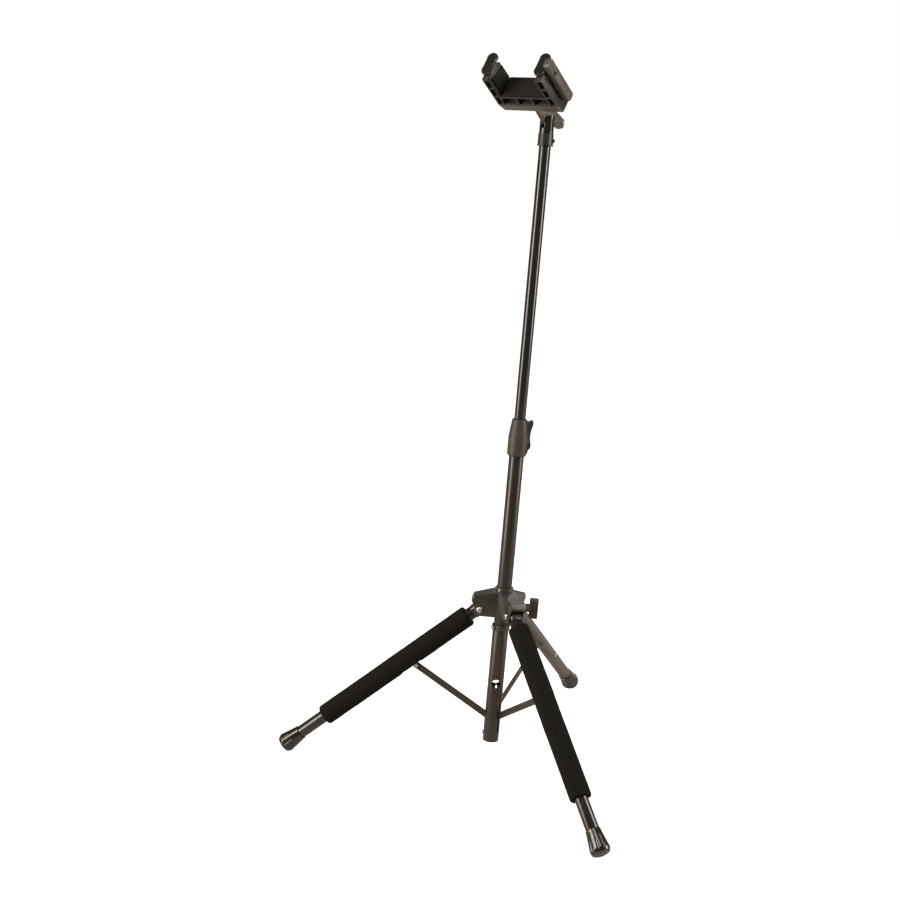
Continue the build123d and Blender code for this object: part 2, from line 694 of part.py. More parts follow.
def brace(name):
    """Flat bar from the knee rivet to the anchor inside the sleeve, and its two rivets."""
    plane = side_plane(leg_azimuth[name], brace_side)
    knee_at = knee_point(leg_open[name], leg_knee[name])
    anchor_at = (anchor_radius, anchor_level)
    middle = ((knee_at[0] + anchor_at[0]) / 2, (knee_at[1] + anchor_at[1]) / 2)
    length = brace_span[name]
    with BuildPart() as bar:
        with BuildSketch(plane):
            with Locations(middle):
                SlotCenterToCenter(length, brace_width, rotation=90 - brace_rest[name])
            with Locations(knee_at):
                Circle(knee_rivet_d / 2, mode=Mode.SUBTRACT)
            with Locations(anchor_at):
                Circle(inner_rivet_d / 2, mode=Mode.SUBTRACT)
        extrude(amount=brace_thick / 2, both=True)
    keep(bar, f"brace_{name}", "gray")
    with BuildPart() as rivets:
        with BuildSketch(plane):
            with Locations(knee_at):
                Circle(knee_rivet_d / 2)
        extrude(amount=ear_reach + 0.2, both=True)
        for face in (-1, 1):
            with BuildSketch(plane.offset(face * (ear_reach + 0.2))):
                with Locations(knee_at):
                    Circle(knee_rivet_d * 0.8)
            extrude(amount=face * 1.0)
        with BuildSketch(plane):
            with Locations(anchor_at):
                Circle(inner_rivet_d / 2)
        extrude(amount=rivet_half, both=True)
    keep(rivets, f"brace_rivets_{name}", "silver")


for leg_name in leg_names:
    leg_fitting(leg_name)
    leg_tube(leg_name)
    leg_foot(leg_name)
    knee_bracket(leg_name)
    brace(leg_name)
for leg_name in ("left", "right"):
    leg_foam(leg_name)

# ---------------------------------------------------------------- head
turn_cos, turn_sin = turn_of(head_turn)
head_right = mast.x_dir * turn_cos + mast.y_dir * turn_sin
head = Plane(origin=mast.from_local_coords(Vector(0, 0, pivot_up)), x_dir=head_right, z_dir=mast.z_dir)
pitch_cos, pitch_sin = turn_of(fork_pitch)
fork_up = head.y_dir * pitch_sin + head.z_dir * pitch_cos
fork_turned = Plane(origin=head.origin, x_dir=head_right, z_dir=fork_up)
fork_frame = Plane(origin=fork_turned.from_local_coords(Vector(0, -pivot_back, -pivot_rise)),
                   x_dir=head_right, z_dir=fork_up)


def fork_side(across=0.0):
    """Local x to the rear of the fork, local y up from its underside."""
    return Plane(origin=fork_frame.from_local_coords(Vector(across, 0, 0)),
                 x_dir=fork_frame.y_dir, z_dir=fork_frame.x_dir)


def fork_front(forward):
    """Local x to the right, local y up, facing forward, in front of the crossbar."""
    return Plane(origin=fork_frame.from_local_coords(Vector(0, -forward, 0)),
                 x_dir=fork_frame.x_dir, z_dir=-fork_frame.y_dir)


upper_tube = tube("upper_tube", mast, upper_bottom, upper_top, upper_d, upper_d - 2 * upper_wall)
keep(upper_tube, "upper_tube", "black")

with BuildPart() as tube_bush:
    with BuildSketch(mast.offset(upper_bottom - 3)):
        Circle(lower_d / 2 - lower_wall - running)
    extrude(amount=3)
    with BuildSketch(mast.offset(upper_bottom)):
        Circle(upper_d / 2 - upper_wall)
    extrude(amount=14)
keep(tube_bush, "tube_bush", "white")

collar_screw_line = radial_plane(20.0 + head_turn, (collar_bottom + collar_top) / 2 - 1)
with BuildPart() as head_collar:
    with BuildSketch(mast.offset(collar_bottom)):
        Circle(collar_d / 2)
    extrude(amount=collar_top - collar_bottom)
    with BuildSketch(mast.offset(collar_bottom)):
        Circle(collar_d / 2 + 0.7)
    extrude(amount=2.4)
    with BuildSketch(collar_screw_line):
        Circle(3.6)
    extrude(amount=collar_d / 2 + 1.0)
    with BuildSketch(mast.offset(collar_bottom - 1)):
        Circle(upper_d / 2)
    extrude(amount=collar_top, mode=Mode.SUBTRACT)
    with BuildSketch(collar_screw_line):
        Circle(ring_screw_d / 2)
    extrude(amount=collar_d, mode=Mode.SUBTRACT)
keep(head_collar, "head_collar", "dimgray")

with BuildPart() as collar_screw:
    with BuildSketch(collar_screw_line.offset(upper_d / 2)):
        Circle(ring_screw_d / 2)
    extrude(amount=collar_d / 2 + 1.0 - upper_d / 2)
    with BuildSketch(collar_screw_line.offset(collar_d / 2 + 1.0)):
        Circle(2.8)
    extrude(amount=1.8)
    fillet(far_face(collar_screw, collar_screw_line.z_dir).edges(), 1.2)
keep(collar_screw, "collar_screw", "silver")

# The clevis neck is plugged into the upper tube; its two rounded ears hold the tilt pin.
ear_split = tongue_thick + 2 * gap
with BuildPart() as head_neck:
    with BuildSketch(Plane(origin=head.origin, x_dir=head.y_dir, z_dir=head.x_dir)):
        Circle(neck_d / 2)
        with Locations((0, (collar_top - pivot_up) / 2)):
            Rectangle(neck_d, pivot_up - collar_top)
    extrude(amount=neck_d / 2, both=True)
    with BuildSketch(mast.offset(collar_top - 1)):
        Circle(neck_d / 2)
    extrude(amount=neck_d + pivot_up - collar_top + 2, mode=Mode.INTERSECT)
    with BuildSketch(Plane(origin=head.origin, x_dir=head.y_dir, z_dir=head.x_dir)):
        with Locations((0, slot_floor - pivot_up + neck_d)):
            Rectangle(2 * neck_d, 2 * neck_d)
    extrude(amount=ear_split / 2, both=True, mode=Mode.SUBTRACT)
    with BuildSketch(Plane(origin=head.origin, x_dir=head.y_dir, z_dir=head.x_dir)):
        Circle(tilt_pin_d / 2)
    extrude(amount=neck_d, both=True, mode=Mode.SUBTRACT)
    with BuildSketch(mast.offset(upper_top - 30)):
        Circle(upper_d / 2 - upper_wall)
    extrude(amount=30)
    with BuildSketch(mast.offset(upper_top)):
        Circle(upper_d / 2)
    extrude(amount=collar_top - upper_top)
keep(head_neck, "head_neck", "black")

pin_plane = Plane(origin=head.origin, x_dir=head.y_dir, z_dir=head.x_dir)
with BuildPart() as tilt_pin:
    with BuildSketch(pin_plane):
        Circle(tilt_pin_d / 2)
    extrude(amount=neck_d / 2 + 0.6, both=True)
keep(tilt_pin, "tilt_pin", "silver")

# ---------------------------------------------------------------- fork
inner_half = fork_width / 2 - prong_thick
crossbar_back = rib_zone + tail_zone
gate_x = fork_width / 2 - prong_thick / 2
guide_size = (9.0, 11.5)  # link-rod guides: along the fork, and up it
guide_spots = (-36.0, 14.0)
rod_x = cover_near + 4.5
rod_up = 25.5
rod_d = 5.0
cover_screw_up = 19.6
with BuildPart() as fork_body:
    with BuildSketch(fork_frame):
        with Locations((0, (crossbar_back - prong_length) / 2)):
            Rectangle(fork_width, crossbar_back + prong_length)
        with Locations((0, -prong_length)):
            Rectangle(2 * inner_half, 2 * prong_length, mode=Mode.SUBTRACT)
    extrude(amount=fork_height)
    tips = fork_body.edges().filter_by(Axis(apex, fork_up)).group_by(Axis(apex, -fork_frame.y_dir))[-1]
    fillet(tips, 4.5)
    with BuildSketch(fork_side()):
        with BuildLine():
            Polyline((-prong_length - 1, fork_height + 1), (-prong_length - 1, fork_height - 9),
                     (-prong_length + 9, fork_height + 1), close=True)
        make_face()
        with BuildLine():
            Polyline((rib_zone, -1), (rib_zone, plate_thick), (crossbar_back, plate_thick + tail_rise),
                     (crossbar_back + 1, -1), close=True)
        make_face()
        with BuildLine():
            Polyline((crossbar_back + 1, fork_height - 14), (crossbar_back + 1, fork_height + 1),
                     (crossbar_back - 9, fork_height + 1), close=True)
        make_face()
    extrude(amount=fork_width, both=True, mode=Mode.SUBTRACT)
    prong_cell = (prong_length + rib_zone - 8 - 2 * rib) / 3
    bar_cell = (2 * inner_half - 2 * rib) / 3
    with BuildSketch(fork_frame):
        for side in (-1, 1):
            with Locations((side * gate_x, (rib_zone - prong_length + 6 - rib / 2) / 2)):
                with GridLocations(0, prong_cell + rib, 1, 3):
                    Rectangle(prong_thick - 2 * rib, prong_cell)
        with Locations((0, rib_zone / 2)):
            with GridLocations(bar_cell + rib, 0, 3, 1):
                Rectangle(bar_cell, rib_zone - 2 * rib)
    extrude(amount=pocket_depth, mode=Mode.SUBTRACT)
    for spot in guide_spots:
        with BuildSketch(fork_side(fork_width / 2)):
            with Locations((spot, cover_low + cover_wall + guide_size[1] / 2 + 1)):
                Rectangle(*guide_size)
        extrude(amount=cover_far - cover_wall - fork_width / 2)
    with BuildSketch(fork_side(-fork_width / 2)):
        with Locations((-prong_length + 6, fork_height - 11)):
            Circle(3.4)
    extrude(amount=-4.0)
    with BuildSketch(fork_front(prong_length)):
        with Locations((gate_x, gate_up), (-gate_x, gate_up)):
            Circle(gate_shaft_d / 2 + running)
    extrude(amount=-(prong_length - gate_shaft_start + running), mode=Mode.SUBTRACT)
    with BuildSketch(fork_front(prong_length)):
        with Locations((rod_x, rod_up)):
            Circle(rod_d / 2 + running)
    extrude(amount=-3 * prong_length, mode=Mode.SUBTRACT)
    with BuildSketch(fork_side(cover_far)):
        with Locations((guide_spots[0], cover_screw_up)):
            Circle(ring_screw_d / 2)
    extrude(amount=-10, mode=Mode.SUBTRACT)
keep(fork_body, "fork_body", "dimgray")

with BuildPart() as tail_plate:
    with BuildSketch(fork_side()):
        with BuildLine():
            Polyline((rib_zone + 0.3, 0), (rib_zone + 0.3, plate_thick),
                     (crossbar_back, plate_thick + tail_rise), (crossbar_back, tail_rise), close=True)
        make_face()
    extrude(amount=fork_width / 2, both=True)
    with BuildSketch(fork_side()):
        with BuildLine():
            Polyline((rib_zone, plate_thick), (crossbar_back, plate_thick + tail_rise),
                     (crossbar_back, plate_thick + tail_rise + 9), (rib_zone, plate_thick + 9), close=True)
        make_face()
    extrude(amount=fork_width, both=True, mode=Mode.SUBTRACT)
keep(tail_plate, "tail_plate", "gray")

with BuildPart() as fork_tongue:
    with BuildSketch(fork_side()):
        with BuildLine():
            FilletPolyline((crossbar_back, 10), (crossbar_back, 28), (92, 44.5), (115, 48), (121, 37),
                           (112, 28), (104, 26), (84, 8.2), (76, 8.4), radius=1.8, close=True)
        make_face()
        with Locations((pivot_back, pivot_rise)):
            Circle(tilt_pin_d / 2 + running, mode=Mode.SUBTRACT)
        with Locations((112, 41)):
            Circle(2.5, mode=Mode.SUBTRACT)
    extrude(amount=tongue_thick / 2, both=True)
keep(fork_tongue, "fork_tongue", "gray")

with BuildPart() as tongue_pin:
    with BuildSketch(fork_side()):
        with Locations((112, 41)):
            Circle(2.5)
    extrude(amount=tongue_thick / 2 + 3.0, both=True)
keep(tongue_pin, "tongue_pin", "silver")

with BuildPart() as cradle_pad:
    with BuildSketch(fork_front(0)):
        with Locations((0, fork_height / 2 + 1)):
            RectangleRounded(2 * inner_half - 2 * liner_thick - 1, fork_height - 3, 2)
    extrude(amount=2.4)
keep(cradle_pad, "cradle_pad", "black")

for side, side_name in ((-1, "left"), (1, "right")):
    with BuildPart() as prong_liner:
        with BuildSketch(fork_side(side * inner_half)):
            with BuildLine():
                Polyline((-3, 6), (-3, fork_height - 1), (-prong_length + 14, fork_height - 1),
                         (-prong_length + 14, fork_height - 14), (-prong_length + 9, 6), close=True)
            make_face()
        extrude(amount=-side * liner_thick)
    keep(prong_liner, f"prong_liner_{side_name}", "black")

    with BuildPart() as gate_arm:
        with BuildSketch(fork_front(prong_length + gap)):
            with Locations((side * gate_x, gate_up), (side * gate_x, gate_up + gate_span)):
                Circle(gate_lobe_d / 2)
            with Locations((side * gate_x, gate_up + gate_span / 2)):
                Rectangle(gate_lobe_d - 1.2, gate_span)
            with Locations((side * gate_x, gate_up)):
                Circle(gate_shaft_d / 2, mode=Mode.SUBTRACT)
        extrude(amount=gate_thick)
    keep(gate_arm, f"gate_arm_{side_name}", "dimgray")

    with BuildPart() as gate_face:
        with BuildSketch(fork_front(prong_length + gap + gate_thick)):
            with Locations((side * gate_x, gate_up), (side * gate_x, gate_up + gate_span)):
                Circle(gate_lobe_d / 2 - 0.8)
            with Locations((side * gate_x, gate_up + gate_span / 2)):
                Rectangle(gate_lobe_d - 2.8, gate_span)
        extrude(amount=gate_pad)
    keep(gate_face, f"gate_pad_{side_name}", "black")

    with BuildPart() as gate_shaft:
        with BuildSketch(fork_front(gate_shaft_start + running)):
            with Locations((side * gate_x, gate_up)):
                Circle(gate_shaft_d / 2)
        extrude(amount=prong_length + gap + gate_thick - gate_shaft_start - running)
    keep(gate_shaft, f"gate_shaft_{side_name}", "silver")

with BuildPart() as link_cover:
    with BuildSketch(fork_side(cover_near)):
        with Locations(((cover_back * -1 - cover_front) / 2, (cover_low + cover_high) / 2)):
            RectangleRounded(cover_front - cover_back, cover_high - cover_low, 4.5)
    extrude(amount=cover_far - cover_near)
    with BuildSketch(fork_side(cover_near)):
        with Locations(((cover_back * -1 - cover_front) / 2, (cover_low + cover_high) / 2)):
            RectangleRounded(cover_front - cover_back - 2 * cover_wall,
                             cover_high - cover_low - 2 * cover_wall, 3.2)
    extrude(amount=cover_far - cover_near - cover_wall, mode=Mode.SUBTRACT)
    fillet(far_face(link_cover, fork_frame.x_dir).outer_wire().edges(), 1.2)
    with BuildSketch(fork_side(cover_far)):
        with Locations((guide_spots[0], cover_screw_up)):
            Circle(ring_screw_d / 2)
    extrude(amount=-10, mode=Mode.SUBTRACT)
keep(link_cover, "link_cover", "gray")

with BuildPart() as cover_screw:
    with BuildSketch(fork_side(cover_far)):
        with Locations((guide_spots[0], cover_screw_up)):
            Circle(ring_screw_d / 2)
    extrude(amount=-9)
    with BuildSketch(fork_side(cover_far)):
        with Locations((guide_spots[0], cover_screw_up)):
            Circle(3.2)
    extrude(amount=1.6)
    fillet(far_face(cover_screw, fork_frame.x_dir).edges(), 1.0)
keep(cover_screw, "cover_screw", "silver")

with BuildPart() as link_rod:
    with BuildSketch(fork_front(cover_front - 12)):
        with Locations((rod_x, rod_up)):
            Circle(rod_d / 2)
    extrude(amount=-(cover_front - cover_back - 23.5))
keep(link_rod, "link_rod", "silver")

os.makedirs("parts", exist_ok=True)
for piece in pieces:
    export_step(piece, f"parts/{piece.label}.step")
print(f"{len(pieces)} nodes, hub travel {hub_travel:.2f}, anchor {anchor_level:.2f}, slot top {slot_top:.2f}")
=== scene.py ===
# %% [markdown]
# # A folding guitar stand
# This lesson dresses the stand's measured frame. The frame brings every piece in its true place, so a new
# piece is always modelled where the frame's own piece lies and then rides on the same moving body.

# %% Load the frame
import bpy
import json
from math import radians, sin, cos
from mathutils import Vector, Matrix


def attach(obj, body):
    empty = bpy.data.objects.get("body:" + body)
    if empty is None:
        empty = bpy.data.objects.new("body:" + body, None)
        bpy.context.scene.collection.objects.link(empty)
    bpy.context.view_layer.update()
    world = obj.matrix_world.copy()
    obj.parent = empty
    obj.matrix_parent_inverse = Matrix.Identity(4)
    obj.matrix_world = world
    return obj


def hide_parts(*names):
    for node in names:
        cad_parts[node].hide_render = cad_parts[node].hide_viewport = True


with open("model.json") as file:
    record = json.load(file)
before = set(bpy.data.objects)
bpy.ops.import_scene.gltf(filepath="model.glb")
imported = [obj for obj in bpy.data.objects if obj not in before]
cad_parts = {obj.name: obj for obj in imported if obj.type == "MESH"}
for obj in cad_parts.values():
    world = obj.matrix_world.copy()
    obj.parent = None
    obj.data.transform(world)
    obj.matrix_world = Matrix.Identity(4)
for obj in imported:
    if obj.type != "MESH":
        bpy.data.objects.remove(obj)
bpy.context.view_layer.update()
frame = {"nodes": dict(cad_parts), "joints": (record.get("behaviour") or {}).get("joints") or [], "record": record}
record = frame["record"]
nodes = frame["nodes"]
body_of_node = {n: body for body, group in record["behaviour"]["bodies"].items() for n in group}
joints = {joint["name"]: joint for joint in frame["joints"]}
MM = 0.001

# %% [markdown]
# The camera stands to the right of the stand, a little above its middle, with a lens of about 57 mm. It is
# placed by its three axes rather than aimed, because a small roll can't be set by aiming.

# %% Camera
CAMERA_AT = Vector((1.1375, -1.9140, 1.2603))
CAMERA_RIGHT = Vector((0.8388, 0.5444, -0.0090))
CAMERA_UP = Vector((-0.1617, 0.2648, 0.9506))
LENS_MM = 56.96
SENSOR_MM = 36
FARTHEST_SEEN = 50
bpy.ops.object.camera_add(location=CAMERA_AT)
camera = bpy.context.object
camera.data.lens = LENS_MM
camera.data.sensor_width = SENSOR_MM
camera.data.clip_end = FARTHEST_SEEN
back = CAMERA_RIGHT.cross(CAMERA_UP).normalized()
camera_up = back.cross(CAMERA_RIGHT).normalized()
turn = Matrix((CAMERA_RIGHT.normalized(), camera_up, back)).transposed().to_4x4()
camera.matrix_world = Matrix.Translation(CAMERA_AT) @ turn
bpy.context.scene.camera = camera
print("camera at", tuple(CAMERA_AT), "with a lens of", LENS_MM, "mm")

# %% [markdown]
# Glossy black tube shows the lamps more than its own colour. Two tall soft boxes, one on each side, draw
# light lines down each tube, and two weaker ones open up the top and the back. All but the back one are
# a little warm, because the paint on the real stand looks slightly brown.

# %% Lights
scene = bpy.context.scene
scene.view_settings.view_transform = "Standard"
MIDDLE = Vector((0, 0, 0.55))


def soft_box(name, azimuth, distance, height, size, power, warmth=(1, 1, 1)):
    """Area lamp aimed at the middle of the stand, azimuth 0 in front and growing to the right."""
    at = Vector((sin(radians(azimuth)) * distance, -cos(radians(azimuth)) * distance, height))
    bpy.ops.object.light_add(type="AREA", location=at)
    lamp = bpy.context.object
    lamp.name = name
    lamp.data.shape = "RECTANGLE"
    lamp.data.size, lamp.data.size_y = size
    lamp.data.energy = power
    lamp.data.color = warmth
    lamp.rotation_euler = (MIDDLE - at).to_track_quat("-Z", "Y").to_euler()
    return lamp


soft_box("left_box", -36, 2.4, 1.3, (0.9, 2.6), 84, (1.0, 0.90, 0.78))
soft_box("right_box", 112, 2.4, 1.3, (0.7, 2.4), 60, (1.0, 0.91, 0.80))
soft_box("top_box", 20, 1.0, 3.2, (1.4, 1.4), 30, (1.0, 0.92, 0.82))
soft_box("back_box", 205, 2.8, 1.8, (1.0, 2.0), 14)
print("four soft boxes round", tuple(MIDDLE))

# %% [markdown]
# A white sky would wash out black paint. So the sky is white only where the camera sees it directly, and
# everything else is lit by a much dimmer, warmer one.

# %% Sky
WARM_SKY = (1.0, 0.92, 0.82, 1)
SKY_GLOW = 0.16
world = bpy.data.worlds.new("studio_sky")
scene.world = world
world.use_nodes = True
sky = world.node_tree.nodes
sky_links = world.node_tree.links
sky_seen = sky.new("ShaderNodeBackground")
sky_seen.inputs["Color"].default_value = (1, 1, 1, 1)
sky_seen.inputs["Strength"].default_value = 1.0
sky["Background"].inputs["Color"].default_value = WARM_SKY
sky["Background"].inputs["Strength"].default_value = SKY_GLOW
sky_mix = sky.new("ShaderNodeMixShader")
sky_ray = sky.new("ShaderNodeLightPath")
sky_links.new(sky_ray.outputs["Is Camera Ray"], sky_mix.inputs["Fac"])
sky_links.new(sky["Background"].outputs[0], sky_mix.inputs[1])
sky_links.new(sky_seen.outputs[0], sky_mix.inputs[2])
sky_links.new(sky_mix.outputs[0], sky["World Output"].inputs["Surface"])
print("sky glow", SKY_GLOW)

# %% [markdown]
# The floor is pale paper, large enough that its far edge doesn't show. It glows for the camera only, by the
# same trick as the sky, and lies a hair below the feet so that the two never share a plane.

# %% Floor
FLOOR_SIZE = 80
FLOOR_DROP = 0.0004
PAPER_GLOW = 0.92
bpy.ops.mesh.primitive_plane_add(size=FLOOR_SIZE, location=(0, 0, -FLOOR_DROP))
floor = bpy.context.object
floor.name = "studio_floor"
paper = bpy.data.materials.new("studio_paper")
paper.use_nodes = True
paper_shader = paper.node_tree.nodes["Principled BSDF"]
paper_shader.inputs["Roughness"].default_value = 0.9
paper_shader.inputs["Specular IOR Level"].default_value = 0.1
paper_shader.inputs["Base Color"].default_value = (0.60, 0.57, 0.54, 1)
paper_shader.inputs["Emission Color"].default_value = (1, 1, 1, 1)
paper_ray = paper.node_tree.nodes.new("ShaderNodeLightPath")
paper_lift = paper.node_tree.nodes.new("ShaderNodeMath")
paper_lift.operation = "MULTIPLY"
paper_lift.inputs[1].default_value = PAPER_GLOW
paper.node_tree.links.new(paper_ray.outputs["Is Camera Ray"], paper_lift.inputs[0])
paper.node_tree.links.new(paper_lift.outputs[0], paper_shader.inputs["Emission Strength"])
floor.data.materials.append(paper)
print(floor.name, FLOOR_SIZE, "m across")

# %% [markdown]
# Every finish on the stand has some grain: orange peel in the paint, sand in the casting, spark texture in
# the moulded plastic. One node group makes two signals, a fine grain for the bumps and a broad mottle for
# colour and roughness, and each material uses them at its own scale.


# %% Grain group
def grain_group():
    group = bpy.data.node_groups.new("surface_grain", "ShaderNodeTree")
    sockets = group.interface
    sockets.new_socket(name="Vector", in_out="INPUT", socket_type="NodeSocketVector")
    sockets.new_socket(name="Grain Scale", in_out="INPUT", socket_type="NodeSocketFloat")
    sockets.new_socket(name="Mottle Scale", in_out="INPUT", socket_type="NodeSocketFloat")
    sockets.new_socket(name="Grain", in_out="OUTPUT", socket_type="NodeSocketFloat")
    sockets.new_socket(name="Mottle", in_out="OUTPUT", socket_type="NodeSocketFloat")
    made, links = group.nodes, group.links
    start = made.new("NodeGroupInput")
    end = made.new("NodeGroupOutput")
    fine = made.new("ShaderNodeTexNoise")
    fine.inputs["Detail"].default_value = 3.0
    broad = made.new("ShaderNodeTexNoise")
    broad.inputs["Detail"].default_value = 4.0
    broad.inputs["Roughness"].default_value = 0.6
    links.new(start.outputs["Vector"], fine.inputs["Vector"])
    links.new(start.outputs["Grain Scale"], fine.inputs["Scale"])
    links.new(start.outputs["Vector"], broad.inputs["Vector"])
    links.new(start.outputs["Mottle Scale"], broad.inputs["Scale"])
    links.new(fine.outputs["Fac"], end.inputs["Grain"])
    links.new(broad.outputs["Fac"], end.inputs["Mottle"])
    return group


GRAIN = grain_group()
print(GRAIN.name, "has", len(GRAIN.nodes), "nodes")

# %% [markdown]
# A finish is a Principled shader fed by that group. Its colour and roughness each run between two limits as
# the mottle changes, and the grain lifts the surface by a few thousandths to hundredths of a millimetre.


# %% Finish helper
def add_finish(name, dark, light, rough, grain_scale, mottle_scale, bump_mm, metallic=0.0,
               specular=0.5, coat=0.0, coat_rough=0.1, sheen=0.0):
    finish = bpy.data.materials.new(name)
    finish.use_nodes = True
    made, links = finish.node_tree.nodes, finish.node_tree.links
    shader = made["Principled BSDF"]
    shader.inputs["Metallic"].default_value = metallic
    shader.inputs["Specular IOR Level"].default_value = specular
    shader.inputs["Coat Weight"].default_value = coat
    shader.inputs["Coat Roughness"].default_value = coat_rough
    shader.inputs["Sheen Weight"].default_value = sheen
    place = made.new("ShaderNodeTexCoord")
    grain = made.new("ShaderNodeGroup")
    grain.node_tree = GRAIN
    grain.name = "grain"
    grain.inputs["Grain Scale"].default_value = grain_scale
    grain.inputs["Mottle Scale"].default_value = mottle_scale
    links.new(place.outputs["Object"], grain.inputs["Vector"])
    tint = made.new("ShaderNodeMix")
    tint.data_type = "RGBA"
    tint.name = "tint"
    tint.inputs["A"].default_value = (*dark, 1)
    tint.inputs["B"].default_value = (*light, 1)
    links.new(grain.outputs["Mottle"], tint.inputs["Factor"])
    links.new(tint.outputs["Result"], shader.inputs["Base Color"])
    sheen_range = made.new("ShaderNodeMapRange")
    sheen_range.inputs["From Min"].default_value = 0.3
    sheen_range.inputs["From Max"].default_value = 0.7
    sheen_range.inputs["To Min"].default_value = rough[0]
    sheen_range.inputs["To Max"].default_value = rough[1]
    links.new(grain.outputs["Mottle"], sheen_range.inputs["Value"])
    links.new(sheen_range.outputs["Result"], shader.inputs["Roughness"])
    bump = made.new("ShaderNodeBump")
    bump.name = "bump"
    bump.inputs["Strength"].default_value = 1.0
    bump.inputs["Distance"].default_value = bump_mm * MM
    links.new(grain.outputs["Grain"], bump.inputs["Height"])
    links.new(bump.outputs["Normal"], shader.inputs["Normal"])
    return finish


# %% [markdown]
# The black of the stand is really several blacks: glossy tube, satin mast and sleeve, cast and moulded parts,
# rubber, and foam that hardly shines at all. The rear leg is made a lighter grey-brown as painted glare from the
# bright background, and the moulded black and the knob are lifted lighter as painted highlight on their edges.
# The foam is by far the most matt.

# %% Finishes
gloss_black = add_finish("gloss_black_paint", (0.0060, 0.0050, 0.0045), (0.0100, 0.0085, 0.0070),
                         (0.22, 0.28), 900, 18, 0.003, coat=0.3, coat_rough=0.12)
mast_paint = add_finish("mast_satin_paint", (0.0100, 0.0080, 0.0062), (0.0170, 0.0135, 0.0100),
                        (0.30, 0.38), 1100, 14, 0.004, coat=0.1, coat_rough=0.2)
sleeve_paint = add_finish("sleeve_satin_paint", (0.018, 0.015, 0.011), (0.030, 0.025, 0.019),
                          (0.34, 0.44), 1000, 16, 0.005)
# Painted glare: the rear leg's paint is lifted to a light grey-brown for the bright background washing over it.
rear_paint_with_painted_glare = add_finish("rear_leg_paint_with_painted_glare", (0.070, 0.061, 0.051), (0.112, 0.098, 0.084),
                        (0.36, 0.46), 1000, 16, 0.004, coat=0.1, coat_rough=0.2)
cast_grey = add_finish("hub_cast_paint", (0.016, 0.015, 0.013), (0.030, 0.028, 0.024),
                       (0.24, 0.36), 1400, 60, 0.012, coat=0.3, coat_rough=0.18)
# Black moulded plastic, partly its own colour and partly painted highlight: lifted lighter so the rounded rib
# edges look lit.
moulded_black_and_painted_sheen = add_finish("moulded_black_and_painted_sheen", (0.0120, 0.0110, 0.0095), (0.022, 0.020, 0.017),
                           (0.34, 0.46), 2600, 45, 0.010)
moulded_grey = add_finish("moulded_grey", (0.046, 0.042, 0.036), (0.076, 0.070, 0.061),
                          (0.34, 0.46), 2400, 45, 0.010)
clutch_grey = add_finish("clutch_plastic", (0.022, 0.019, 0.015), (0.040, 0.035, 0.027),
                         (0.46, 0.58), 2600, 50, 0.020)
# Painted highlight: the knob's dark plastic is raised about twice over to stand in for the edge light on it.
knob_plastic = add_finish("knob_plastic", (0.030, 0.026, 0.021), (0.052, 0.046, 0.037),
                          (0.46, 0.60), 2400, 55, 0.016)
cover_plastic = add_finish("link_cover_plastic", (0.052, 0.050, 0.044), (0.082, 0.079, 0.070),
                           (0.34, 0.46), 2400, 45, 0.010)
liner_rubber = add_finish("liner_rubber", (0.004, 0.0035, 0.003), (0.009, 0.008, 0.006),
                          (0.58, 0.74), 1500, 60, 0.040, specular=0.2)
foot_rubber = add_finish("foot_rubber", (0.0050, 0.0048, 0.0045), (0.0090, 0.0086, 0.0080),
                         (0.16, 0.26), 1300, 50, 0.006, coat=0.4, coat_rough=0.12)
bare_steel = add_finish("zinc_plate", (0.42, 0.42, 0.43), (0.62, 0.61, 0.60),
                        (0.20, 0.36), 1800, 120, 0.006, metallic=1.0)
black_oxide = add_finish("black_oxide_steel", (0.030, 0.027, 0.023), (0.055, 0.050, 0.043),
                         (0.20, 0.32), 1800, 120, 0.004, metallic=0.6)
brace_paint = add_finish("brace_paint", (0.018, 0.014, 0.011), (0.034, 0.028, 0.022),
                         (0.32, 0.46), 1200, 30, 0.006, coat=0.1, coat_rough=0.25)
bush_nylon = add_finish("bush_nylon", (0.55, 0.54, 0.50), (0.66, 0.65, 0.61),
                        (0.40, 0.55), 1600, 40, 0.006)
foam_black = add_finish("closed_cell_foam", (0.0044, 0.0041, 0.0032), (0.0078, 0.0073, 0.0058),
                        (0.82, 0.92), 1700, 40, 0.07, specular=0.14)
print(len(bpy.data.materials), "materials")

# %% [markdown]
# The frame's own meshes are loose triangles, which always look faceted. A copy is merged at its seams, its
# flat faces are dissolved back into single faces, its sharp edges get a small rounding as a moulding or a
# casting has, and it is shaded smooth by angle. The copy then replaces the frame's piece.

# %% Copying a frame piece
MERGE_DISTANCE = 0.000002
FLAT_WITHIN = radians(0.4)


def only(piece):
    bpy.ops.object.select_all(action="DESELECT")
    piece.select_set(True)
    bpy.context.view_layer.objects.active = piece


def hand_in(piece, finish, *replaced):
    """Give a finished piece its material and body, and hide the frame's pieces it replaces."""
    piece.data.materials.clear()
    piece.data.materials.append(finish)
    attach(piece, body_of_node[replaced[0]])
    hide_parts(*replaced)
    return piece


def merged_copy(node):
    piece = bpy.data.objects.new(node + "_shell", nodes[node].data.copy())
    scene.collection.objects.link(piece)
    only(piece)
    bpy.ops.object.mode_set(mode="EDIT")
    bpy.ops.mesh.select_all(action="SELECT")
    bpy.ops.mesh.remove_doubles(threshold=MERGE_DISTANCE)
    bpy.ops.mesh.dissolve_limited(angle_limit=FLAT_WITHIN)
    bpy.ops.object.mode_set(mode="OBJECT")
    return piece


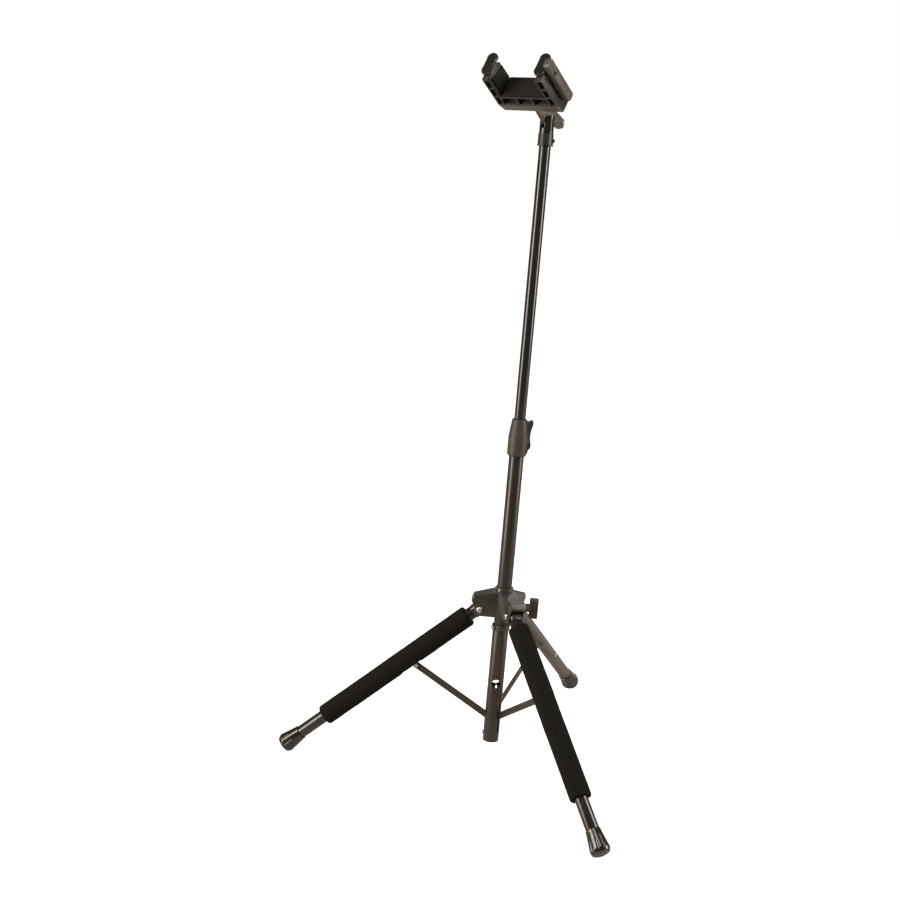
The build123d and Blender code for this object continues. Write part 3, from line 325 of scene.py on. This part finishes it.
def rounded_copy(node, finish, rounding=0.4, segments=2, angle=32):
    """Merged copy of one node with its sharp edges rounded, in millimetres."""
    piece = merged_copy(node)
    if rounding:
        bevel = piece.modifiers.new("rounding", "BEVEL")
        bevel.width = rounding * MM
        bevel.segments = segments
        bevel.limit_method = "ANGLE"
        bevel.angle_limit = radians(angle)
        bevel.use_clamp_overlap = True
        bevel.harden_normals = False
        bpy.ops.object.modifier_apply(modifier=bevel.name)
    bpy.ops.object.shade_smooth_by_angle(angle=radians(angle))
    return hand_in(piece, finish, node)


# %% [markdown]
# Each tube, casting and moulding gets a rounding of its own size, in millimetres: large on the knob and the
# castings, small on thin tube.

# %% Tubes and fittings
for name, finish, rounding in (
        ("upper_tube", gloss_black, 0.2), ("lower_tube", mast_paint, 0.3), ("base_sleeve", sleeve_paint, 0.25),
        ("sleeve_ring", clutch_grey, 0.5), ("leg_tube_left", gloss_black, 0.2),
        ("leg_tube_right", gloss_black, 0.2), ("leg_tube_rear", rear_paint_with_painted_glare, 0.2),
        ("leg_fitting_left", gloss_black, 0.4), ("leg_fitting_right", gloss_black, 0.4),
        ("leg_fitting_rear", cast_grey, 0.4), ("hub_casting", cast_grey, 0.8),
        ("knee_bracket_left", gloss_black, 0.3), ("knee_bracket_right", gloss_black, 0.3),
        ("knee_bracket_rear", rear_paint_with_painted_glare, 0.3), ("brace_left", brace_paint, 0.35),
        ("brace_right", brace_paint, 0.35), ("brace_rear", brace_paint, 0.35),
        ("clamp_knob", knob_plastic, 1.2), ("clutch_body", clutch_grey, 0.5),
        ("clutch_trigger", clutch_grey, 0.5), ("head_collar", moulded_black_and_painted_sheen, 0.4),
        ("head_neck", gloss_black, 0.8), ("fork_body", moulded_black_and_painted_sheen, 0.6), ("tail_plate", moulded_grey, 0.3),
        ("fork_tongue", moulded_grey, 0.6), ("link_cover", cover_plastic, 0.5),
        ("cradle_pad", liner_rubber, 0.6), ("prong_liner_left", liner_rubber, 0.5),
        ("prong_liner_right", liner_rubber, 0.5), ("gate_arm_left", moulded_black_and_painted_sheen, 0.6),
        ("gate_arm_right", moulded_black_and_painted_sheen, 0.6), ("gate_pad_left", liner_rubber, 0.5),
        ("gate_pad_right", liner_rubber, 0.5), ("leg_foot_left", foot_rubber, 0.5),
        ("leg_foot_right", foot_rubber, 0.5), ("leg_foot_rear", foot_rubber, 0.5)):
    rounded_copy(name, finish, rounding)
print("tubes, castings and mouldings finished")

# %% [markdown]
# Screws, rivets and pins are small turned pieces, so they get a much smaller rounding. Three of the screws
# and pins are black, and the others are zinc plated. The hidden bushes need no rounding.

# %% Fasteners
PIN_ROUNDING = 0.15
for name in ("ring_screw", "sleeve_rivet", "leg_bolts", "clamp_screw", "trigger_pin", "rear_leg_rivet",
             "brace_rivets_left", "brace_rivets_right", "brace_rivets_rear", "tongue_pin", "link_rod",
             "gate_shaft_left", "gate_shaft_right"):
    rounded_copy(name, bare_steel, PIN_ROUNDING)
for name in ("collar_screw", "cover_screw", "tilt_pin"):
    rounded_copy(name, black_oxide, PIN_ROUNDING)
for name, finish in (("hub_liner", bush_nylon), ("clutch_bush", bush_nylon), ("tube_bush", bush_nylon),
                     ("brace_anchor", moulded_black_and_painted_sheen)):
    rounded_copy(name, finish, 0)
print("fasteners and bushes finished")

# %% [markdown]
# The foam on the front legs is closed-cell tube, cut to length and pushed on. It isn't quite round: it dents
# where it was gripped, and its cut ends roll over. A voxel remesh gives an even skin, a smoothing pass rolls
# the ends, and two clouds of soft noise push it in and out by a few tenths of a millimetre.


# %% Foam sleeves
FOAM_VOXEL = 1.7 * MM
FOAM_NOISE = (("dents", 0.045, 0.9), ("skin_waves", 0.012, 0.25))  # name, size in m, depth in mm


def foam_sleeve(side):
    node = f"leg_foam_{side}"
    piece = merged_copy(node)
    piece.name = f"foam_sleeve_{side}"
    skin = piece.modifiers.new("skin", "REMESH")
    skin.mode = "VOXEL"
    skin.voxel_size = FOAM_VOXEL
    bpy.ops.object.modifier_apply(modifier=skin.name)
    ease = piece.modifiers.new("ease", "SMOOTH")
    ease.factor = 0.5
    ease.iterations = 6
    bpy.ops.object.modifier_apply(modifier=ease.name)
    for label, size, depth in FOAM_NOISE:
        cloud = bpy.data.textures.new(f"foam_{label}_{side}", "CLOUDS")
        cloud.noise_scale = size
        push = piece.modifiers.new(label, "DISPLACE")
        push.texture = cloud
        push.texture_coords = "LOCAL"
        push.strength = depth * MM
        push.mid_level = 0.6
        bpy.ops.object.modifier_apply(modifier=push.name)
    bpy.ops.object.shade_smooth()
    hand_in(piece, foam_black, node)
    print(piece.name, len(piece.data.polygons), "faces")


foam_sleeve("left")
foam_sleeve("right")

# %% [markdown]
# The pad on the crossbar is rubber with rows of low studs that grip the headstock. The fork is tilted, so
# three directions are taken from its joints: along the pad, up it, and out of its face. One stud is modelled,
# an eight-sided disc whose outer face is drawn in, and it is then copied in rows.

# %% Directions of the cradle pad
pad_right = Vector(joints["fork_tilt"]["axis"]).normalized()
pad_out = -Vector(joints["rod_slide"]["axis"]).normalized()
pad_up = pad_right.cross(-pad_out).normalized()
pad_turn = Matrix((pad_right, pad_up, pad_out)).transposed()
print("pad faces", tuple(round(v, 3) for v in pad_out))

# %% Grip studs on the cradle pad
STUD_SIDES = 8
STUD_FOOT = 0.0016
STUD_TOP = 0.0009
STUD_HEIGHT = 0.0008
STUD_SINK = 0.0001
STUD_COLUMNS, STUD_ROWS = 17, 8
EDGE_SHARE = 0.75  # first stud's place, in parts of the spacing


def one_stud():
    """Low disc with its outer face drawn in, standing at the origin."""
    bpy.ops.object.select_all(action="DESELECT")
    bpy.ops.mesh.primitive_cylinder_add(vertices=STUD_SIDES, radius=STUD_FOOT, depth=STUD_HEIGHT)
    stud = bpy.context.object
    bpy.ops.object.mode_set(mode="EDIT")
    bpy.ops.mesh.select_mode(type="FACE")
    bpy.ops.mesh.select_all(action="DESELECT")
    bpy.ops.object.mode_set(mode="OBJECT")
    for face in stud.data.polygons:
        face.select = face.normal.z > 0.9
    bpy.ops.object.mode_set(mode="EDIT")
    share = STUD_TOP / STUD_FOOT
    bpy.ops.transform.resize(value=(share, share, 1))
    bpy.ops.object.mode_set(mode="OBJECT")
    return stud


def pad_grip():
    """Rows of low studs on the front of the crossbar pad."""
    spots = [v.co for v in nodes["cradle_pad"].data.vertices]
    front = max(v.dot(pad_out) for v in spots)
    left, right = min(v.dot(pad_right) for v in spots), max(v.dot(pad_right) for v in spots)
    low, high = min(v.dot(pad_up) for v in spots), max(v.dot(pad_up) for v in spots)
    first = one_stud()
    studs = []
    for row in range(STUD_ROWS):
        for column in range(STUD_COLUMNS):
            across = left + (right - left) * (column + EDGE_SHARE) / (STUD_COLUMNS + 0.5)
            along = low + (high - low) * (row + EDGE_SHARE) / (STUD_ROWS + 0.5)
            at = pad_turn @ Vector((across, along, front - STUD_SINK))
            stud = first.copy()
            stud.data = first.data.copy()
            scene.collection.objects.link(stud)
            stud.matrix_world = Matrix.Translation(at) @ pad_turn.to_4x4()
            studs.append(stud)
    bpy.data.objects.remove(first)
    only(studs[0])
    for stud in studs:
        stud.select_set(True)
    bpy.ops.object.join()
    grip = bpy.context.object
    bpy.ops.object.transform_apply(location=True, rotation=True, scale=True)
    grip.name = "cradle_grip"
    grip.data.materials.append(liner_rubber)
    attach(grip, body_of_node["cradle_pad"])
    print(grip.name, len(grip.data.polygons), "faces")


pad_grip()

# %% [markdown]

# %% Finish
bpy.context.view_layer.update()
